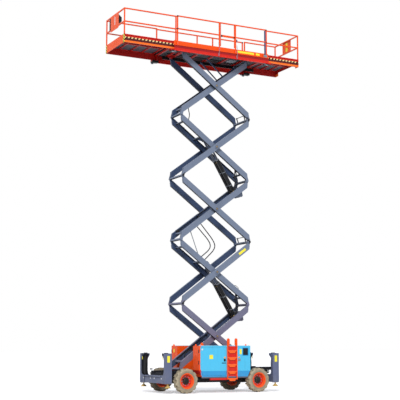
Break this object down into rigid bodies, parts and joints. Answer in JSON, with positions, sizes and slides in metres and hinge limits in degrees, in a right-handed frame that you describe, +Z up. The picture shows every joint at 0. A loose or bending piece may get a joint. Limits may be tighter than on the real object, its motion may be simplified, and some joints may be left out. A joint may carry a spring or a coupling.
{
  "type": "scissor lift",
  "caption": "Rough-terrain scissor lift, partly raised: five-stack arm mast, platform with roll-out decks, side boxes, outriggers and steerable wheels.",
  "frame": {"origin": "on the ground under the centre of the overall box", "axes": "+X towards the steered front axle, +Y to the machine's left, +Z up"},
  "size_m": [7.212, 2.292, 13.3508],
  "materials": {
    "arm_paint": "satin paint",
    "black_steel": "satin black",
    "blue_paint": "satin paint",
    "cast": "cast iron",
    "chassis_paint": "satin paint",
    "control_plastic": "matt plastic",
    "floor_steel": "galvanised mesh plate",
    "orange_paint": "satin paint",
    "outrigger_paint": "satin paint",
    "red_paint": "satin paint",
    "rod_chrome": "hard chrome",
    "tyre_rubber": "dusty rubber"
  },
  "bodies": {
    "chassis": {"chassis_frame": "chassis_paint", "front_axle": "cast", "rear_axle": "cast", "outrigger_frames": "outrigger_paint", "outrigger_beams": "outrigger_paint", "outrigger_cylinders": "black_steel", "beacons": "orange_paint", "side_box_left": "blue_paint", "side_box_right": "blue_paint", "box_supports": "chassis_paint", "engine_block": "cast", "ladder": "orange_paint"},
    "inner_arms_1": {"inner_arms_1": "arm_paint"},
    "outer_arms_1": {"outer_arms_1": "arm_paint"},
    "inner_arms_2": {"inner_arms_2": "arm_paint"},
    "outer_arms_2": {"outer_arms_2": "arm_paint"},
    "inner_arms_3": {"inner_arms_3": "arm_paint"},
    "outer_arms_3": {"outer_arms_3": "arm_paint"},
    "inner_arms_4": {"inner_arms_4": "arm_paint"},
    "outer_arms_4": {"outer_arms_4": "arm_paint"},
    "inner_arms_5": {"inner_arms_5": "arm_paint"},
    "outer_arms_5": {"outer_arms_5": "arm_paint"},
    "platform": {"main_deck": "red_paint", "deck_floor": "floor_steel", "main_rails": "orange_paint"},
    "lower_barrels": {"lower_lift_barrels": "black_steel"},
    "lower_rods": {"lower_lift_rods": "rod_chrome"},
    "upper_barrels": {"upper_lift_barrels": "black_steel"},
    "upper_rods": {"upper_lift_rods": "rod_chrome"},
    "steady_struts": {"steady_struts": "black_steel"},
    "front_extension": {"front_extension": "red_paint", "front_extension_rails": "orange_paint", "platform_controls": "control_plastic"},
    "rear_extension": {"rear_extension": "red_paint", "rear_extension_rails": "orange_paint"},
    "gate": {"gate": "orange_paint"},
    "knuckle_left": {"knuckle_left": "cast"},
    "knuckle_right": {"knuckle_right": "cast"},
    "tie_rod": {"tie_rod": "black_steel"},
    "wheel_front_left": {"rim_front_left": "red_paint", "tyre_front_left": "tyre_rubber"},
    "wheel_front_right": {"rim_front_right": "red_paint", "tyre_front_right": "tyre_rubber"},
    "wheel_rear_left": {"rim_rear_left": "red_paint", "tyre_rear_left": "tyre_rubber"},
    "wheel_rear_right": {"rim_rear_right": "red_paint", "tyre_rear_right": "tyre_rubber"},
    "outrigger_leg_front_left": {"outrigger_leg_front_left": "outrigger_paint"},
    "outrigger_leg_front_right": {"outrigger_leg_front_right": "outrigger_paint"},
    "outrigger_leg_rear_left": {"outrigger_leg_rear_left": "outrigger_paint"},
    "outrigger_leg_rear_right": {"outrigger_leg_rear_right": "outrigger_paint"},
    "side_box_door_left": {"side_box_door_left": "blue_paint"},
    "side_box_door_right": {"side_box_door_right": "blue_paint"}
  },
  "joints": [
    {"name": "lift", "type": "hinge", "parent": "chassis", "child": "inner_arms_1", "pos_m": [1.14, 0, 0.81], "axis": [0, 1, 0], "range_deg": [-36.5, 18.4]},
    {"name": "crossing_1", "type": "hinge", "parent": "inner_arms_1", "child": "outer_arms_1", "pos_m": [-0.21009, 0, 1.94688], "axis": [0, -1, 0], "range_deg": [-73.01, 36.81]},
    {"name": "knee_1", "type": "hinge", "parent": "inner_arms_1", "child": "inner_arms_2", "pos_m": [-1.56017, 0, 3.08376], "axis": [0, -1, 0], "range_deg": [-73.01, 36.81]},
    {"name": "crossing_2", "type": "hinge", "parent": "inner_arms_2", "child": "outer_arms_2", "pos_m": [-0.21009, 0, 4.22063], "axis": [0, 1, 0], "range_deg": [-73.01, 36.81]},
    {"name": "knee_2", "type": "hinge", "parent": "inner_arms_2", "child": "inner_arms_3", "pos_m": [1.14, 0, 5.35751], "axis": [0, 1, 0], "range_deg": [-73.01, 36.81]},
    {"name": "crossing_3", "type": "hinge", "parent": "inner_arms_3", "child": "outer_arms_3", "pos_m": [-0.21009, 0, 6.49439], "axis": [0, -1, 0], "range_deg": [-73.01, 36.81]},
    {"name": "knee_3", "type": "hinge", "parent": "inner_arms_3", "child": "inner_arms_4", "pos_m": [-1.56017, 0, 7.63127], "axis": [0, -1, 0], "range_deg": [-73.01, 36.81]},
    {"name": "crossing_4", "type": "hinge", "parent": "inner_arms_4", "child": "outer_arms_4", "pos_m": [-0.21009, 0, 8.76815], "axis": [0, 1, 0], "range_deg": [-73.01, 36.81]},
    {"name": "knee_4", "type": "hinge", "parent": "inner_arms_4", "child": "inner_arms_5", "pos_m": [1.14, 0, 9.90503], "axis": [0, 1, 0], "range_deg": [-73.01, 36.81]},
    {"name": "crossing_5", "type": "hinge", "parent": "inner_arms_5", "child": "outer_arms_5", "pos_m": [-0.21009, 0, 11.0419], "axis": [0, -1, 0], "range_deg": [-73.01, 36.81]},
    {"name": "platform_level", "type": "hinge", "parent": "outer_arms_5", "child": "platform", "pos_m": [1.14, 0, 12.17878], "axis": [0, 1, 0], "range_deg": [-36.51, 18.41]},
    {"name": "lower_barrel_pivot", "type": "hinge", "parent": "inner_arms_1", "child": "lower_barrels", "pos_m": [-1.24293, 0, 2.529], "axis": [0, -1, 0], "range_deg": [-72.69, 36.65]},
    {"name": "lower_rod_slide", "type": "slide", "parent": "lower_barrels", "child": "lower_rods", "axis": [0.5138, 0, 0.8579], "range_m": [-0.739, 0.373]},
    {"name": "upper_barrel_pivot", "type": "hinge", "parent": "inner_arms_3", "child": "upper_barrels", "pos_m": [-1.24293, 0, 7.07651], "axis": [0, -1, 0], "range_deg": [-72.69, 36.65]},
    {"name": "upper_rod_slide", "type": "slide", "parent": "upper_barrels", "child": "upper_rods", "axis": [0.5138, 0, 0.8579], "range_m": [-0.739, 0.373]},
    {"name": "strut_pivot", "type": "hinge", "parent": "inner_arms_5", "child": "steady_struts", "pos_m": [-0.69122, 0, 11.44706], "axis": [0, -1, 0], "range_deg": [-82.14, 41.41]},
    {"name": "front_extension_slide", "type": "slide", "parent": "platform", "child": "front_extension", "axis": [1, 0, 0], "range_m": [-1.75, 0]},
    {"name": "rear_extension_slide", "type": "slide", "parent": "platform", "child": "rear_extension", "axis": [-1, 0, 0], "range_m": [-1.3, 0]},
    {"name": "gate_hinge", "type": "hinge", "parent": "platform", "child": "gate", "pos_m": [-0.174, 0.8655, 12.88208], "axis": [0, 0, 1], "range_deg": [0, 88]},
    {"name": "steer_left", "type": "hinge", "parent": "chassis", "child": "knuckle_left", "pos_m": [1.26, 0.86, 0.42], "axis": [0, 0, 1], "range_deg": [-30, 30]},
    {"name": "steer_right", "type": "hinge", "parent": "chassis", "child": "knuckle_right", "pos_m": [1.26, -0.86, 0.42], "axis": [0, 0, 1], "range_deg": [-30, 30]},
    {"name": "tie_rod_pivot", "type": "hinge", "parent": "knuckle_left", "child": "tie_rod", "pos_m": [1.07, 0.86, 0.388], "axis": [0, 0, 1], "range_deg": [-30, 30]},
    {"name": "spin_front_left", "type": "hinge", "parent": "knuckle_left", "child": "wheel_front_left", "pos_m": [1.26, 0.996, 0.42], "axis": [0, 1, 0], "continuous": true},
    {"name": "spin_front_right", "type": "hinge", "parent": "knuckle_right", "child": "wheel_front_right", "pos_m": [1.26, -0.996, 0.42], "axis": [0, 1, 0], "continuous": true},
    {"name": "spin_rear_left", "type": "hinge", "parent": "chassis", "child": "wheel_rear_left", "pos_m": [-1.58, 0.996, 0.42], "axis": [0, 1, 0], "continuous": true},
    {"name": "spin_rear_right", "type": "hinge", "parent": "chassis", "child": "wheel_rear_right", "pos_m": [-1.58, -0.996, 0.42], "axis": [0, 1, 0], "continuous": true},
    {"name": "outrigger_front_left", "type": "slide", "parent": "chassis", "child": "outrigger_leg_front_left", "axis": [0, 0, -1], "range_m": [0, 0.35]},
    {"name": "outrigger_front_right", "type": "slide", "parent": "chassis", "child": "outrigger_leg_front_right", "axis": [0, 0, -1], "range_m": [0, 0.35]},
    {"name": "outrigger_rear_left", "type": "slide", "parent": "chassis", "child": "outrigger_leg_rear_left", "axis": [0, 0, -1], "range_m": [0, 0.35]},
    {"name": "outrigger_rear_right", "type": "slide", "parent": "chassis", "child": "outrigger_leg_rear_right", "axis": [0, 0, -1], "range_m": [0, 0.35]},
    {"name": "door_left", "type": "hinge", "parent": "chassis", "child": "side_box_door_left", "pos_m": [0.755, 1.1095, 1.08], "axis": [0, 0, -1], "range_deg": [0, 105]},
    {"name": "door_right", "type": "hinge", "parent": "chassis", "child": "side_box_door_right", "pos_m": [0.755, -1.1095, 1.08], "axis": [0, 0, 1], "range_deg": [0, 105]}
  ],
  "couplings": [
    {"joint": "crossing_1", "follows": "lift", "ratio": 2},
    {"joint": "knee_1", "follows": "lift", "ratio": 2},
    {"joint": "crossing_2", "follows": "lift", "ratio": 2},
    {"joint": "knee_2", "follows": "lift", "ratio": 2},
    {"joint": "crossing_3", "follows": "lift", "ratio": 2},
    {"joint": "knee_3", "follows": "lift", "ratio": 2},
    {"joint": "crossing_4", "follows": "lift", "ratio": 2},
    {"joint": "knee_4", "follows": "lift", "ratio": 2},
    {"joint": "crossing_5", "follows": "lift", "ratio": 2},
    {"joint": "platform_level", "follows": "lift", "ratio": 1},
    {"joint": "lower_barrel_pivot", "follows": "lift", "ratio": 1.9913},
    {"joint": "lower_rod_slide", "follows": "lift", "m_per_rad": 1.1584},
    {"joint": "upper_barrel_pivot", "follows": "lift", "ratio": 1.9913},
    {"joint": "upper_rod_slide", "follows": "lift", "m_per_rad": 1.1584},
    {"joint": "strut_pivot", "follows": "lift", "ratio": 2.25},
    {"joint": "steer_right", "follows": "steer_left", "ratio": 1},
    {"joint": "tie_rod_pivot", "follows": "steer_left", "ratio": -1}
  ]
}
